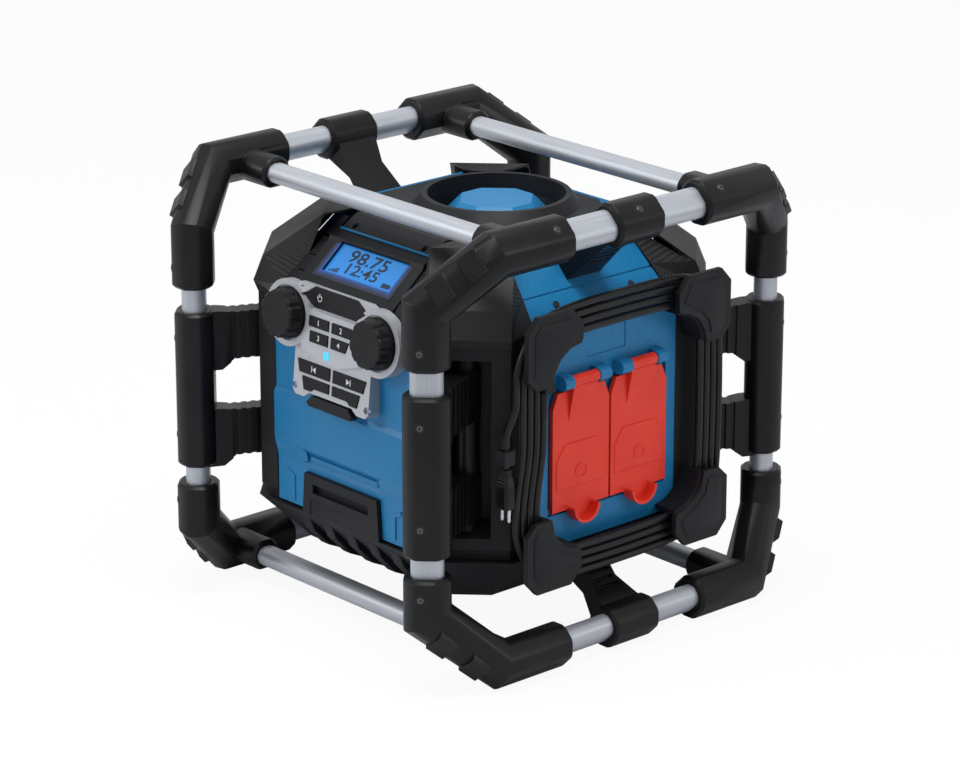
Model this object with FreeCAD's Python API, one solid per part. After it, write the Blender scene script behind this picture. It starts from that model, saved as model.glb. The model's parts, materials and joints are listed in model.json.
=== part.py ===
import FreeCAD, Part
import math, os
from FreeCAD import Vector

# A jobsite radio: a facetted plastic body hung by ribbed arms inside a tubular roll cage.
# The front with the controls faces -Y, the side with the two covered outlets faces +X.
# The origin is on the floor under the middle of the cage, Z is up, sizes are in millimetres.

# Roll cage; heights below are drawn from a zero plane that stands floor_lift above the floor
floor_lift = 1.5
mid_z = 198.0                  # middle of the cage
post_x, post_y = 154.0, 198.5  # axes of the four upright posts
side_x, side_z = 185.0, 180.0  # axes of the four front-to-rear side tubes, from mid_z
cross_y_top, cross_y_bottom = 118.5, 138.0
cross_z = 176.5                # axes of the four left-to-right cross tubes, from mid_z
tube_wide, tube_thick, tube_wall = 28.0, 20.5, 2.0
cross_wide, cross_thick = 21.0, 17.5
elbow_wide, elbow_thick = 40.0, 36.0
socket_wide, socket_thick = 31.0, 27.0
bend_top_z, bend_bottom_z = 136.8, 132.5    # post leg of an elbow ends, from mid_z
bend_top_y, bend_bottom_y = 151.0, 147.0    # side leg of an elbow ends
mouth_top_z, mouth_bottom_z = 86.0, 95.0    # lower and upper mouths on the posts
mouth_y, mouth_x = 77.0, 135.0              # mouths on side tubes and cross tubes
sleeve_top, sleeve_bottom = 64.3, -77.4     # post sleeve, from mid_z
sleeve_wide, sleeve_thick = 40.0, 33.5
bracket_half = 26.0
insert = 20.0                  # how deep a tube goes into a fitting
fit_gap = 0.05                 # clearance between a tube and its fitting

# Body
body_half = 161.0              # side faces of the body
corner_sum = 272.0             # |x| + |y| on the flat corner faces
corner_inner = 208.0           # |x| + |y| where the corner housings meet the chassis
chassis_half = 156.0
plate_low, plate_high = 103.0, 281.0        # flat corner faces
wall = 6.0                     # chassis wall
panel_half = 80.5              # half width of the blue side panels
fascia_half = 89.0             # half width of the blue front fascia
recess_half, recess_floor = 18.0, 228.0     # arm recess: half width, |x| + |y| of its floor
recess_wide = 24.0             # half width on the side that the arms come from
recess_low, recess_high = 113.5, 272.0
rod_x, rod_y, rod_radius = 121.0, 125.0, 8.0
shoulder_z, crown_z, crown_half = 284.0, 346.0, 101.0
base_low, base_high = 46.0, 93.0
base_half, base_sum = 118.0, 212.0          # underside of the base skirt

# Control face
face_tilt = 5.7                # degrees that the control plate leans back
face_y, face_z = -169.0, 256.0              # middle of the control plate
knob_x, knob_up = 58.9, 19.5
knob_radius, knob_height = 23.0, 15.2
band_lift = 4.0                # raised middle band of the control plate
key_gap, key_proud = 0.35, 1.0
well_radius, well_y, well_deep = 61.0, 18.0, 44.0

# Outlet flaps
flap_outer_x, flap_thick = 164.5, 4.5
flap_low, flap_top = 126.5, 233.0
hinge_x, hinge_z = 167.6, 242.0
hinge_radius, pin_radius = 5.2, 1.5

# Cord winding
cord_diameter, lane_pitch = 7.0, 7.75
cord_x = 176.0
lane_radius = 38.6             # bend of the innermost turn about each hook
hook_y, hook_top_z, hook_bottom_z = 58.0, 252.0, 134.0
hook_plate_x, hook_plate_thick = 184.5, 5.5
turns = 4
cord_sides = 8                 # flats of the sheath, to keep the mesh light

os.makedirs("parts", exist_ok=True)


def save(shape, name):
    shape.translated(Vector(0, 0, floor_lift)).exportStep("parts/" + name + ".step")


def polygon(points):
    return Part.makePolygon(points + [points[0]])


def box(x0, x1, y0, y1, z0, z1):
    return Part.makeBox(x1 - x0, y1 - y0, z1 - z0, Vector(x0, y0, z0))


def slab(points, thickness):
    """A flat outline pushed out along a vector."""
    return Part.Face(polygon(points)).extrude(thickness)


def skinned(sections):
    """Flat-faced solid through outlines with the same number of corners; a twisted side is split in two."""
    faces = [Part.Face(polygon(sections[0])), Part.Face(polygon(sections[-1]))]
    for low, high in zip(sections, sections[1:]):
        for i in range(len(low)):
            a, b, c, d = low[i - 1], low[i], high[i], high[i - 1]
            normal = (b - a).cross(d - a)
            if abs((c - a).dot(normal)) < 1e-6 * normal.Length:
                faces.append(Part.Face(polygon([a, b, c, d])))
            else:
                faces += [Part.Face(polygon([a, b, c])), Part.Face(polygon([a, c, d]))]
    solid = Part.Solid(Part.Shell(faces))
    if solid.Volume < 0:
        solid.reverse()
    return solid


def cylinder(radius, height, base, axis):
    return Part.makeCylinder(radius, height, base, axis)


def drum(levels, base, axis, sides):
    """Round body drawn with flats, through pairs of radius and height along an axis."""
    along = Vector(axis).normalize()
    side = Vector(1, 0, 0) if abs(along.z) > 0.9 else along.cross(Vector(0, 0, 1)).normalize()
    other = along.cross(side)
    sections = []
    for radius, height in levels:
        angles = [2 * math.pi * (k + 0.5) / sides for k in range(sides)]
        sections.append([base + along * height + (side * math.cos(a) + other * math.sin(a)) * radius
                         for a in angles])
    return skinned(sections)


def prism(radius, height, base, axis, sides=24):
    return drum([(radius, 0), (radius, height)], base, axis, sides)


def quarter_turned(shape, count):
    turned = shape.copy()
    turned.rotate(Vector(0, 0, 0), Vector(0, 0, 1), 90 * count)
    return turned


def mirrored(shape, sx, sy):
    out = shape
    if sx < 0:
        out = out.mirror(Vector(0, 0, 0), Vector(1, 0, 0))
    if sy < 0:
        out = out.mirror(Vector(0, 0, 0), Vector(0, 1, 0))
    return out


def rounded_octagon(centre, out, across, wide, thick, soft=2.2):
    """Eight flats with soft corners: thick along out, wide along across."""
    cut = 0.29 * min(wide, thick)
    a, b = thick / 2, wide / 2
    corners = [(a, cut - b), (a, b - cut), (a - cut, b), (cut - a, b),
               (-a, b - cut), (-a, cut - b), (cut - a, -b), (a - cut, -b)]
    points = []
    for i, (u, v) in enumerate(corners):
        for other in (corners[i - 1], corners[(i + 1) % 8]):
            run = math.hypot(other[0] - u, other[1] - v)
            t = soft / run
            p, q = u + (other[0] - u) * t, v + (other[1] - v) * t
            points.append(centre + out * p + across * q)
    return points


def slide_to(points, along, at, normal):
    """Carries points along a direction onto a mitre plane."""
    return [p + along * ((at - p).dot(normal) / along.dot(normal)) for p in points]


def fitting(start, end, out, wide, thick, chamfer=2.5):
    """Straight octagonal fitting with both mouths chamfered."""
    along = (end - start).normalize()
    across = along.cross(out)
    full = lambda c: rounded_octagon(c, out, across, wide, thick)
    small = lambda c: rounded_octagon(c, out, across, wide - 2 * chamfer, thick - 2 * chamfer, 1.6)
    step = along * chamfer
    return skinned([small(start), full(start + step), full(end - step), small(end)])


def tube_body(start, end, out, wide, thick, grow=0.0):
    along = (end - start).normalize()
    across = along.cross(out)
    return skinned([rounded_octagon(c, out, across, wide + 2 * grow, thick + 2 * grow) for c in (start, end)])


def tube(start, end, out, wide, thick):
    along = (end - start).normalize()
    hollow = tube_body(start - along, end + along, out, wide, thick, -tube_wall)
    return tube_body(start, end, out, wide, thick).cut(hollow)


diagonal = 1 / math.sqrt(2)
post_out = Vector(diagonal, -diagonal, 0)


# Tubes
def post_ends(sx, sy):
    x, y = sx * post_x, sy * post_y
    low = Vector(x, y, mid_z - mouth_bottom_z - insert)
    return low, Vector(x, y, mid_z + mouth_top_z + insert), Vector(sx * diagonal, sy * diagonal, 0)


def side_ends(sx, sz):
    x, z = sx * side_x, mid_z + sz * side_z
    half = mouth_y + insert
    return Vector(x, -half, z), Vector(x, half, z), Vector(sx * diagonal, 0, sz * diagonal)


def cross_ends(sy, sz):
    y = sy * (cross_y_top if sz > 0 else cross_y_bottom)
    half = mouth_x + insert
    z = mid_z + sz * cross_z
    return Vector(-half, y, z), Vector(half, y, z), Vector(0, 0, sz)


posts = {(sx, sy): post_ends(sx, sy) for sx in (-1, 1) for sy in (-1, 1)}
sides = {(sx, sz): side_ends(sx, sz) for sx in (-1, 1) for sz in (-1, 1)}
crosses = {(sy, sz): cross_ends(sy, sz) for sy in (-1, 1) for sz in (-1, 1)}

save(Part.makeCompound([tube(*ends, tube_wide, tube_thick) for ends in posts.values()]), "post_tubes")
save(Part.makeCompound([tube(*ends, tube_wide, tube_thick) for ends in sides.values()]), "side_tubes")
save(Part.makeCompound([tube(*ends, cross_wide, cross_thick) for ends in crosses.values()]), "cross_tubes")


# Elbows
def elbow(sx, sy, sz):
    """One moulding: a post socket, an oblique leg with two grip pads, a side socket, a cross socket."""
    bend_z, bend_y = (bend_top_z, bend_top_y) if sz > 0 else (bend_bottom_z, bend_bottom_y)
    mouth_z = mouth_top_z if sz > 0 else mouth_bottom_z
    mouth = Vector(post_x, -post_y, mouth_z)
    bend_1 = Vector(post_x, -post_y, bend_z)
    bend_2 = Vector(side_x, -bend_y, side_z)
    far_mouth = Vector(side_x, -mouth_y, side_z)
    up, back = Vector(0, 0, 1), Vector(0, 1, 0)
    oblique = (bend_2 - bend_1).normalize()
    side_out = Vector(diagonal, 0, diagonal)
    chamfer = 2.5

    def ring(centre, out, along, less):
        return rounded_octagon(centre, out, along.cross(out), elbow_wide - less, elbow_thick - less)

    mitre_1 = slide_to(ring(mouth, post_out, up, 0), up, bend_1, up + oblique)
    mitre_2 = slide_to(ring(far_mouth, side_out, back, 0), back, bend_2, back + oblique)
    leg_1 = skinned([ring(mouth, post_out, up, 2 * chamfer), ring(mouth + up * chamfer, post_out, up, 0), mitre_1])
    leg_2 = skinned([mitre_1, mitre_2])
    leg_3 = skinned([mitre_2, ring(far_mouth - back * chamfer, side_out, back, 0),
                     ring(far_mouth, side_out, back, 2 * chamfer)])
    cross_y = cross_y_top if sz > 0 else cross_y_bottom
    socket = fitting(Vector(side_x, -cross_y, cross_z), Vector(mouth_x, -cross_y, cross_z),
                     up, socket_wide, socket_thick)
    body = leg_1.fuse([leg_2, leg_3, socket])
    for share in (0.27, 0.73):
        body = body.fuse(grip_pad(bend_1, bend_2, share))
    body = body.cut(tube_body(Vector(post_x, -post_y, 0), Vector(post_x, -post_y, mouth_z + insert),
                              post_out, tube_wide, tube_thick, fit_gap))
    body = body.cut(tube_body(Vector(side_x, -mouth_y - insert, side_z), Vector(side_x, 0, side_z),
                              side_out, tube_wide, tube_thick, fit_gap))
    body = body.cut(tube_body(Vector(0, -cross_y, cross_z), Vector(mouth_x + insert, -cross_y, cross_z),
                              up, cross_wide, cross_thick, fit_gap))
    if sz < 0:
        body = body.mirror(Vector(0, 0, 0), Vector(0, 0, 1))
    body = body.translated(Vector(0, 0, mid_z))
    return mirrored(body, sx, -sy)


def grip_pad(start, end, share):
    """Raised rubbing pad on the outside of an elbow's oblique leg."""
    along = (end - start).normalize()
    out = Vector(1, -1, 1)
    out = (out - along * out.dot(along)).normalize()
    across = along.cross(out)
    centre = start + (end - start) * share
    half, lift = 11.5, elbow_thick / 2 + 3.0
    outline = []
    for u, v in ((-half, -13), (half, -13), (half, 13), (-half, 13)):
        outline.append(centre + along * u + across * v)
    top = []
    for u, v in ((-half + 2.5, -10.5), (half - 2.5, -10.5), (half - 2.5, 10.5), (-half + 2.5, 10.5)):
        top.append(centre + along * u + across * v + out * lift)
    return skinned([outline, top])


names_x = {-1: "left", 1: "right"}
names_y = {-1: "front", 1: "rear"}
names_z = {-1: "bottom", 1: "top"}
for sx in (-1, 1):
    for sy in (-1, 1):
        for sz in (-1, 1):
            name = "elbow_%s_%s_%s" % (names_z[sz], names_y[sy], names_x[sx])
            save(elbow(sx, sy, sz), name)


# Post sleeves with their two ribbed arms
def post_sleeve(sx, sy):
    """Sleeve on a post, two ribbed arms, and the clasp round the rod in the body's corner."""
    low = Vector(post_x, -post_y, mid_z + sleeve_bottom)
    high = Vector(post_x, -post_y, mid_z + sleeve_top)
    body = fitting(low, high, post_out, sleeve_wide, sleeve_thick)
    reach = Vector(rod_x - post_x, post_y - rod_y, 0)
    length = reach.Length
    along = reach.normalize()
    side = Vector(-along.y, along.x, 0)
    root = Vector(post_x, -post_y, 0)
    arm_half = 10.0

    def at(s, z, w=0.0):
        return root + along * s + side * w + Vector(0, 0, mid_z + z)

    for z0, z1, flare_0, flare_1 in ((18.0, 61.0, -9.0, 2.0), (-71.5, -29.0, -9.0, 2.0)):
        outline = [at(6, z0 + flare_0), at(22, z0 + flare_0), at(34, z0), at(length, z0),
                   at(length, z1), at(34, z1), at(20, z1 + flare_1), at(6, z1 + flare_1)]
        arm = slab([p + side * -arm_half for p in outline], side * (2 * arm_half))
        for k in range(4):
            s = 30.0 + 8.5 * k
            for w in (-arm_half - 1, arm_half - 2):
                corner = [at(s, z0 - 12, w), at(s + 4, z0 - 12, w), at(s + 4, z0 - 12, w + 3), at(s, z0 - 12, w + 3)]
                arm = arm.cut(slab(corner, Vector(0, 0, z1 - z0 + 24)))
        body = body.fuse(arm)
        body = body.fuse(prism(12.0, z1 - z0, Vector(rod_x, -rod_y, mid_z + z0), Vector(0, 0, 1), 16))
    body = body.fuse(prism(11.0, 60, Vector(rod_x, -rod_y, mid_z - 35), Vector(0, 0, 1), 16))
    body = body.cut(prism(rod_radius + fit_gap, 300, Vector(rod_x, -rod_y, 50), Vector(0, 0, 1), 16))
    body = body.cut(tube_body(low - Vector(0, 0, 30), high + Vector(0, 0, 30), post_out,
                              tube_wide, tube_thick, fit_gap))
    return mirrored(body, sx, -sy)


for sx in (-1, 1):
    for sy in (-1, 1):
        save(post_sleeve(sx, sy), "post_sleeve_%s_%s" % (names_y[sy], names_x[sx]))


# Brackets from the side tubes to the body
def side_bracket(sx, sz):
    """Sleeve on a side tube with a flared arm that lands on the body."""
    z = side_z * sz
    out = Vector(diagonal, 0, sz * diagonal)
    body = fitting(Vector(side_x, -bracket_half, z), Vector(side_x, bracket_half, z), out, 38.0, 34.0)
    foot_x, foot_z = (127.0, 128.0) if sz > 0 else (134.0, -141.0)
    spine = Vector(foot_x - side_x, 0, foot_z - z)
    along = spine.normalize()
    across = Vector(-along.z, 0, along.x)
    near = Vector(side_x, 0, z) + along * 8
    middle = Vector(side_x, 0, z) + along * 40
    far = Vector(foot_x, 0, foot_z) + along * 10

    def section(centre, half_y, half_t):
        return [centre + Vector(0, w * half_y, 0) + across * (t * half_t)
                for w, t in ((-1, -1), (1, -1), (1, 1), (-1, 1))]

    arm = skinned([section(near, 23.0, 12.0), section(middle, 15.0, 8.0), section(far, 20.0, 9.0)])
    for k in range(4):
        centre = Vector(side_x, 0, z) + along * (33.0 + 8.0 * k) + across * (sz * 8.0)
        outline = [centre + along * u + across * v for u, v in ((-1.6, -1.6), (1.6, -1.6), (1.6, 4), (-1.6, 4))]
        arm = arm.cut(slab([p + Vector(0, -12, 0) for p in outline], Vector(0, 24, 0)))
    body = body.fuse(arm)
    body = body.cut(tube_body(Vector(side_x, -60, z), Vector(side_x, 60, z), out,
                              tube_wide, tube_thick, fit_gap))
    return mirrored(body.translated(Vector(0, 0, mid_z)), sx, 1)


# Body housings
def octagon(half, total, z):
    c = total - half
    return [Vector(*p, z) for p in ((-c, -half), (c, -half), (half, -c), (half, c),
                                    (c, half), (-c, half), (-half, c), (-half, -c))]


def body_block(inset):
    """Eight-sided body with a sloped crown, drawn in by a wall thickness."""
    low = skinned([octagon(chassis_half - inset, corner_inner - 1.4 * inset, plate_low + inset),
                   octagon(chassis_half - inset, corner_inner - 1.4 * inset, shoulder_z)])
    top = skinned([octagon(chassis_half - inset, corner_inner - 1.4 * inset, shoulder_z),
                   octagon(crown_half - 5 - inset, 150.0 - 1.4 * inset, crown_z - 4 - inset)])
    return low.fuse(top).removeSplitter()


crown = skinned([octagon(chassis_half, corner_inner, shoulder_z), octagon(crown_half - 5, 150.0, crown_z - 4)])


def panel_profile(half_low, half_high):
    """Blue panel of a side: an upright face with a sloped shoulder above it."""
    inner, outer = chassis_half, body_half
    outline = [Vector(inner, 0, base_high + 2), Vector(outer, 0, base_high + 2), Vector(outer, 0, shoulder_z - 1),
               Vector(crown_half, 0, crown_z + 2), Vector(crown_half - 5, 0, crown_z - 4),
               Vector(inner, 0, shoulder_z)]
    solid = slab([p + Vector(0, -100, 0) for p in outline], Vector(0, 200, 0))
    front = [Vector(0, -half_low, 0), Vector(0, half_low, 0), Vector(0, half_low, shoulder_z),
             Vector(0, half_high, crown_z + 10), Vector(0, -half_high, crown_z + 10), Vector(0, -half_low, shoulder_z)]
    solid = solid.common(slab(front, Vector(400, 0, 0)))
    for drop in (11.0, 34.0):
        x = crown_half + drop
        z = crown_z + 2 - drop * (crown_z + 3 - shoulder_z) / (body_half - crown_half)
        groove = prism(1.2, 200, Vector(x, -100, z), Vector(0, 1, 0), 8)
        solid = solid.cut(groove)
    return solid


panel = panel_profile(panel_half, 66.0)


# Corner housings with the recess that takes the arms
def corner_housing(face_edge):
    """Black housing of one corner, with the rod that the arms clasp."""
    c_out, c_in = corner_sum - body_half, corner_inner - chassis_half
    outline = [Vector(face_edge, -body_half, 0), Vector(c_out, -body_half, 0), Vector(body_half, -c_out, 0),
               Vector(body_half, -panel_half, 0), Vector(chassis_half, -panel_half, 0),
               Vector(chassis_half, -c_in, 0), Vector(c_in, -chassis_half, 0), Vector(face_edge, -chassis_half, 0)]
    outline = [p + Vector(0, 0, plate_low) for p in outline]
    solid = slab(outline, Vector(0, 0, plate_high - plate_low))
    along = Vector(diagonal, diagonal, 0)

    def mouth(total, low, high):
        middle = Vector(total / 2, -total / 2, 0)
        return [middle - along * recess_wide + Vector(0, 0, low), middle + along * recess_half + Vector(0, 0, low),
                middle + along * recess_half + Vector(0, 0, high), middle - along * recess_wide + Vector(0, 0, high)]

    recess = skinned([mouth(recess_floor, recess_low + 8, recess_high - 8),
                      mouth(corner_sum + 2, recess_low, recess_high)])
    solid = solid.cut(recess)
    rod = prism(rod_radius, 180, Vector(rod_x, -rod_y, 100), Vector(0, 0, 1), 16)
    rod = rod.common(recess)
    return solid.fuse(rod)


front_corner, rear_corner = corner_housing(fascia_half), corner_housing(panel_half)
corners = [front_corner, mirrored(front_corner, -1, 1), mirrored(rear_corner, 1, -1), mirrored(rear_corner, -1, -1)]
save(Part.makeCompound(corners), "corner_housings")


# Speaker grilles: a bent shell over each upper corner
def grille_section(z, total, half):
    """Plan of a grille cover at one height; its edges follow the sloping edges of the blue panels."""
    flat = 25.2
    edge = panel_half + 0.45 - max(0.0, z - shoulder_z) * (panel_half - 66.0) / (crown_z + 10 - shoulder_z)
    a = Vector(total / 2 - flat, -(total / 2 + flat), z)
    b = Vector(total / 2 + flat, -(total / 2 - flat), z)
    return [Vector(edge, -half, z), a, b, Vector(half, -edge, z),
            Vector(half - 14, -edge, z), Vector(edge, 14 - half, z)]


grille_skin = 2.5
grille_steps = ((plate_high, 272.0, 160.5), (291.0, 278.0, 155.0), (314.0, 265.0, 135.0), (352.0, 190.0, 99.0))
grille = skinned([grille_section(*step) for step in grille_steps])
grille_inner = skinned([[p - Vector(diagonal, -diagonal, 0) * grille_skin - Vector(0, 0, 0.8 * grille_skin)
                         for p in grille_section(*step)] for step in grille_steps])
grille_inner = grille_inner.common(box(0, 300, -300, 0, plate_high, 400))
cover = max(grille.cut(grille_inner).Solids, key=lambda solid: solid.Volume)
covers = [mirrored(cover, sx, sy) for sx in (-1, 1) for sy in (-1, 1)]
grille_blocks = Part.makeCompound([mirrored(grille, sx, sy) for sx in (-1, 1) for sy in (-1, 1)])
save(Part.makeCompound(covers), "speaker_grilles")

# Corner speaker drivers, seated on the sloped corners of the crown
driver_axis = Vector(1, -1, 1).normalize()
driver_seat = Vector(89.5, -89.5, 313.0)


def speaker_driver():
    """Driver with a ring, a cone and a magnet, facing out and up."""
    ring = prism(31, 3.5, driver_seat, driver_axis, 16).cut(prism(24, 3.5, driver_seat, driver_axis, 16))
    basket = drum([(12, -15), (25, 0)], driver_seat, driver_axis, 16)
    basket = basket.cut(drum([(9, -13), (23.5, 2)], driver_seat, driver_axis, 16))
    return ring.fuse([basket, prism(17, 11, driver_seat - driver_axis * 25, driver_axis, 16)])


driver = speaker_driver()
driver_hole = prism(25.5, 30, driver_seat - driver_axis * 24, driver_axis, 16)
save(Part.makeCompound([mirrored(driver, sx, sy) for sx in (-1, 1) for sy in (-1, 1)]), "speaker_drivers")

# Chassis: a hollow box with a cup in its top, holes for the drivers and the sockets
socket_y, socket_z, socket_radius = 34.0, 182.0, 17.8
well_sides = 40
subwoofer_hole = 44.0
cup_base = crown_z - well_deep
chassis = body_block(0.0).cut(body_block(wall))
cup_centre = Vector(0, well_y, cup_base)
chassis = chassis.fuse(prism(well_radius + 3, well_deep - 4, cup_centre, Vector(0, 0, 1), well_sides))
cup_floor = Vector(0, well_y, cup_base + 3)
chassis = chassis.cut(prism(well_radius, well_deep, cup_floor, Vector(0, 0, 1), well_sides))
for sx in (-1, 1):
    for sy in (-1, 1):
        chassis = chassis.cut(mirrored(driver_hole, sx, sy))
    spot = Vector(140, sx * socket_y, socket_z)
    chassis = chassis.cut(prism(socket_radius + fit_gap, 30, spot, Vector(1, 0, 0)))
chassis = chassis.cut(prism(subwoofer_hole, 20, Vector(0, 0, plate_low - 5), Vector(0, 0, 1)))
save(chassis, "chassis")

subwoofer_seat = Vector(0, 0, plate_low + wall)
subwoofer = prism(56, 4, subwoofer_seat, Vector(0, 0, 1))
subwoofer = subwoofer.fuse(drum([(46, 0), (24, 24)], subwoofer_seat, Vector(0, 0, 1), 24))
subwoofer = subwoofer.cut(drum([(43, -2), (21, 22)], subwoofer_seat, Vector(0, 0, 1), 24))
subwoofer = subwoofer.fuse(prism(32, 16, subwoofer_seat + Vector(0, 0, 24), Vector(0, 0, 1)))
save(subwoofer, "subwoofer")

boss = skinned([octagon(46.0, 64.0, cup_base + 3), octagon(30.0, 42.0, crown_z - 12)])
save(boss.translated(Vector(0, well_y, 0)), "well_boss")


# Front fascia
def upright(points, y0, y1):
    """Outline in x and z, standing between two depths."""
    return slab([Vector(x, y0, z) for x, z in points], Vector(0, y1 - y0, 0))


fascia_profile = [(-chassis_half, 95), (-159.5, 95), (-159.5, 136), (-157.4, 139), (-157.4, 146), (-163.5, 152),
                  (-163.5, 195), (-160.5, 200), (-160.5, 294), (-157, 294), (-157, shoulder_z),
                  (-chassis_half, shoulder_z)]
fascia = slab([Vector(-fascia_half, y, z) for y, z in fascia_profile], Vector(2 * fascia_half, 0, 0))
fascia = fascia.common(upright([(-fascia_half, 90), (fascia_half, 90), (fascia_half, plate_high), (80, plate_high),
                                (78.5, 294), (-78.5, 294), (-80, plate_high), (-fascia_half, plate_high)], -180, 0))

face_point = Vector(0, face_y, face_z)
outward = Vector(0, -1, 0)


def on_face(shape):
    """Leans back, with the control plate, a shape that was drawn upright."""
    leaned = shape.copy()
    leaned.rotate(face_point, Vector(1, 0, 0), -face_tilt)
    return leaned


def face_slab(points, front, depth):
    """Outline in the plate's own x and up, from front (0 is the plate's face) back by depth."""
    return slab([Vector(x, face_y + front, face_z + up) for x, up in points], Vector(0, depth, 0))


def both_sides(points):
    return points + [(-x, up) for x, up in reversed(points)]


def flipped(points):
    return [(-x, up) for x, up in reversed(points)]


def grown(points, by):
    wire = polygon([Vector(x, 0, up) for x, up in points])
    return [(v.X, v.Z) for v in wire.makeOffset2D(by, 2).OrderedVertexes]


# Control plate with a raised band, rings for the knobs and wells for the keys
lower_key = [(-38, -32), (-2, -32), (-2, -40.5), (-22, -40.5), (-26, -43.5), (-35, -43.5)]
track_key = [(-45, -18), (-2, -18), (-2, -29), (-42, -29)]
keys = {
    "power_key": (0, both_sides([(28, 49), (42, 40), (28, 31)])),
    "preset_key_1": (-band_lift, [(-29, 24), (-3, 24), (-3, 15), (-29, 15)]),
    "preset_key_2": (-band_lift, [(1, 24), (27, 24), (25, 15), (1, 15)]),
    "preset_key_3": (-band_lift, [(-27, 11), (-3, 11), (-3, 1.5), (-27, 1.5)]),
    "preset_key_4": (-band_lift, [(1, 11), (24, 11), (20, 1.5), (1, 1.5)]),
    "previous_key": (0, track_key),
    "next_key": (0, flipped(track_key)),
    "lower_left_key": (0, lower_key),
    "lower_right_key": (0, flipped(lower_key)),
}
bottom_key = [(-24, -47), (24, -47), (30, -53), (27.5, -56.5), (-27.5, -56.5), (-30, -53)]
plate = face_slab(both_sides([(46, 50), (56, 46), (57, 38), (50, -8), (50, -46), (46, -50), (35, -50), (28, -45.2)]),
                  0, 20)
plate = plate.fuse(face_slab(both_sides([(36, 29), (40, 0), (38, -6), (12, -14)]), -band_lift, 10))
plate = plate.fuse(face_slab([(-20, -40), (20, -40), (26, -53), (24, -55.5), (-24, -55.5), (-26, -53)], 8.8, 11))
for sx in (-1, 1):
    ring_centre = Vector(sx * knob_x, face_y + 20, face_z + knob_up)
    plate = plate.fuse(prism(29.5, 20 + band_lift, ring_centre, outward, 36))
for level, points in keys.values():
    plate = plate.cut(face_slab(grown(points, key_gap), level - 5, 9))
for sx in (-1, 1):
    knob_centre = Vector(sx * knob_x, face_y, face_z + knob_up)
    plate = plate.cut(cylinder(3.05, 60, knob_centre - outward * 30, outward))
    plate = plate.cut(prism(24.5, 20, knob_centre + outward * (band_lift - 2), outward, 36))
    for up in (43, -42.5):
        plate = plate.cut(prism(3.2, 4, Vector(sx * 47, face_y + 2.5, face_z + up), outward, 12))
light_centre = Vector(-4, face_y + 3, face_z - 6.5)
plate = plate.cut(prism(4.0, 20, light_centre, outward, 16))
plate = on_face(plate).cut(fascia).cut(box(-200, 200, -157.0, 0, 0, 500))
plate = plate.cut(box(-200, 200, -160.5, 0, shoulder_z, 500)).cut(grille_blocks)
plate = max(plate.Solids, key=lambda solid: solid.Volume)
save(plate, "control_plate")
save(on_face(prism(3.95, 3 + band_lift + 0.8, light_centre, outward, 16)), "status_light")
for name, (level, points) in keys.items():
    save(on_face(face_slab(points, level - key_proud, key_proud + 2.6)), name)
save(on_face(face_slab(bottom_key, -key_proud, key_proud + 7.5)), "bottom_key")


def knob(sx):
    """Stepped knob with twelve finger flutes and its shaft."""
    base = Vector(sx * knob_x, face_y, face_z + knob_up) + outward * (band_lift - 1.5)

    def section(radius, height, flute):
        points = []
        for k in range(12):
            for turn, less in ((-7, 0), (0, flute), (7, 0)):
                angle = math.radians(30 * k + turn)
                spoke = Vector(math.cos(angle), 0, math.sin(angle))
                points.append(base + outward * height + spoke * (radius - less))
        return points

    body = skinned([section(knob_radius, 0, 0), section(knob_radius, 4, 0), section(knob_radius - 0.8, 4, 1.6),
                    section(knob_radius - 2.2, knob_height - 1.5, 1.6),
                    section(knob_radius - 4, knob_height, 1.2)])
    body = body.fuse(cylinder(3.0, 8, base - outward * 8, outward))
    return on_face(body)


save(knob(-1), "knob_left")
save(knob(1), "knob_right")

# Bass port bezel let into the apron
bezel_points = [(-48.5, 130.5), (48.5, 130.5), (52, 84), (48, 79), (-48, 79), (-52, 84)]
bezel = upright(bezel_points, -164.0, -chassis_half)
bezel = bezel.cut(upright([(-37, 122), (37, 122), (37, 114), (-37, 114)], -170, -158.5))
bezel = bezel.cut(upright([(-40, 108), (40, 108), (42, 88), (-42, 88)], -170, -163.0))
bezel = bezel.cut(box(-200, 200, -200, 0, 0, base_high + 0.2))
save(bezel, "port_bezel")
save(fascia.cut(upright(bezel_points, -170, -chassis_half)), "front_fascia")

# Base skirt: a hollow bowl with sloped sides
skirt = skinned([octagon(base_half, base_sum, base_low), octagon(163.0, 276.0, base_high)])
skirt = skirt.fuse(skinned([octagon(155.5, 262.0, base_high), octagon(155.5, 262.0, plate_low)]))
hollow = skinned([octagon(base_half - 3, base_sum - 6, base_low + 5), octagon(150.0, 252.0, base_high - 5)])
hollow = hollow.fuse(skinned([octagon(150.0, 252.0, base_high - 5), octagon(150.0, 252.0, plate_low + 1)]))
skirt = skirt.cut(hollow)
save(skirt, "base_skirt")

# Brackets land on the shoulder panels and on the skirt
panel_block = slab([Vector(0, -100, 60), Vector(body_half, -100, base_high), Vector(body_half, -100, shoulder_z - 1),
                    Vector(crown_half, -100, crown_z + 2), Vector(0, -100, crown_z + 2)], Vector(0, 200, 0))
skirt_block = skinned([octagon(base_half, base_sum, base_low), octagon(163.0, 276.0, base_high)])
for sx in (-1, 1):
    for sz in (-1, 1):
        bracket = side_bracket(sx, sz).cut(mirrored(panel_block, sx, 1)).cut(skirt_block)
        bracket = max(bracket.Solids, key=lambda solid: solid.Volume)
        save(bracket, "side_bracket_%s_%s" % (names_z[sz], names_x[sx]))

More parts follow.
